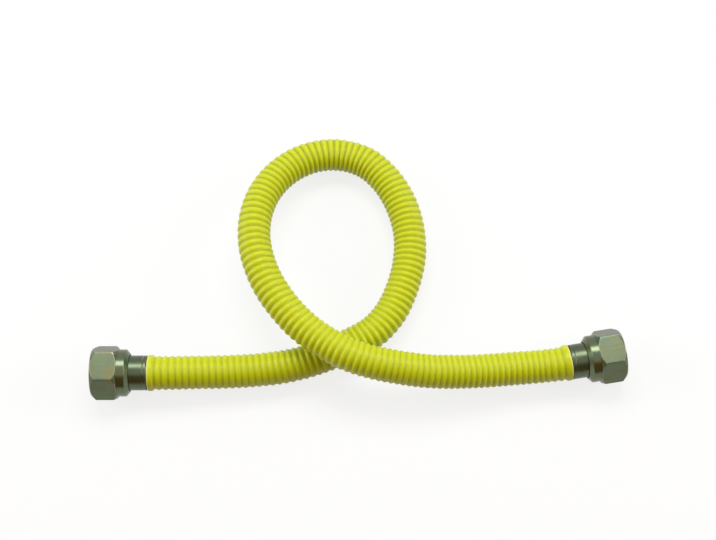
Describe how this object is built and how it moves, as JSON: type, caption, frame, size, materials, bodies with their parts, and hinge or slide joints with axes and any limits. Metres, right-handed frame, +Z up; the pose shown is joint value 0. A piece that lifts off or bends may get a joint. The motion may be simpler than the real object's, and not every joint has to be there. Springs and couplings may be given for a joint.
{
  "type": "flexible gas hose",
  "caption": "Yellow corrugated flexible gas hose laid in a loose loop, with a loose hexagonal union nut at each end.",
  "frame": {"origin": "on the floor, midway between the two end fittings", "axes": "+X from the left fitting to the right fitting, +Y towards the top of the hose's loop, +Z up from the floor it lies on"},
  "size_m": [0.2633, 0.1413, 0.0341],
  "materials": {
    "yellow_plastic": "satin ribbed plastic",
    "bare_steel": "bright corrugated stainless steel",
    "plated_steel": "turned steel with a greenish yellow zinc plating",
    "seal_fibre": "flat dark grey sealing fibre"
  },
  "bodies": {
    "hose": {"sheath": "yellow_plastic", "steel_hose": "bare_steel", "left_seal_washer": "seal_fibre", "left_hose_tail": "plated_steel", "left_ferrule": "plated_steel", "right_seal_washer": "seal_fibre", "right_hose_tail": "plated_steel", "right_ferrule": "plated_steel"},
    "left_nut": {"left_union_nut": "plated_steel"},
    "right_nut": {"right_union_nut": "plated_steel"}
  },
  "joints": [
    {"name": "left_nut_spin", "type": "hinge", "parent": "hose", "child": "left_nut", "pos_m": [-0.1222, -0.005, 0.012], "axis": [-1, 0, 0], "continuous": true},
    {"name": "right_nut_spin", "type": "hinge", "parent": "hose", "child": "right_nut", "pos_m": [0.12076, 0.00322, 0.012], "axis": [0.9863, 0.165, 0], "continuous": true}
  ]
}
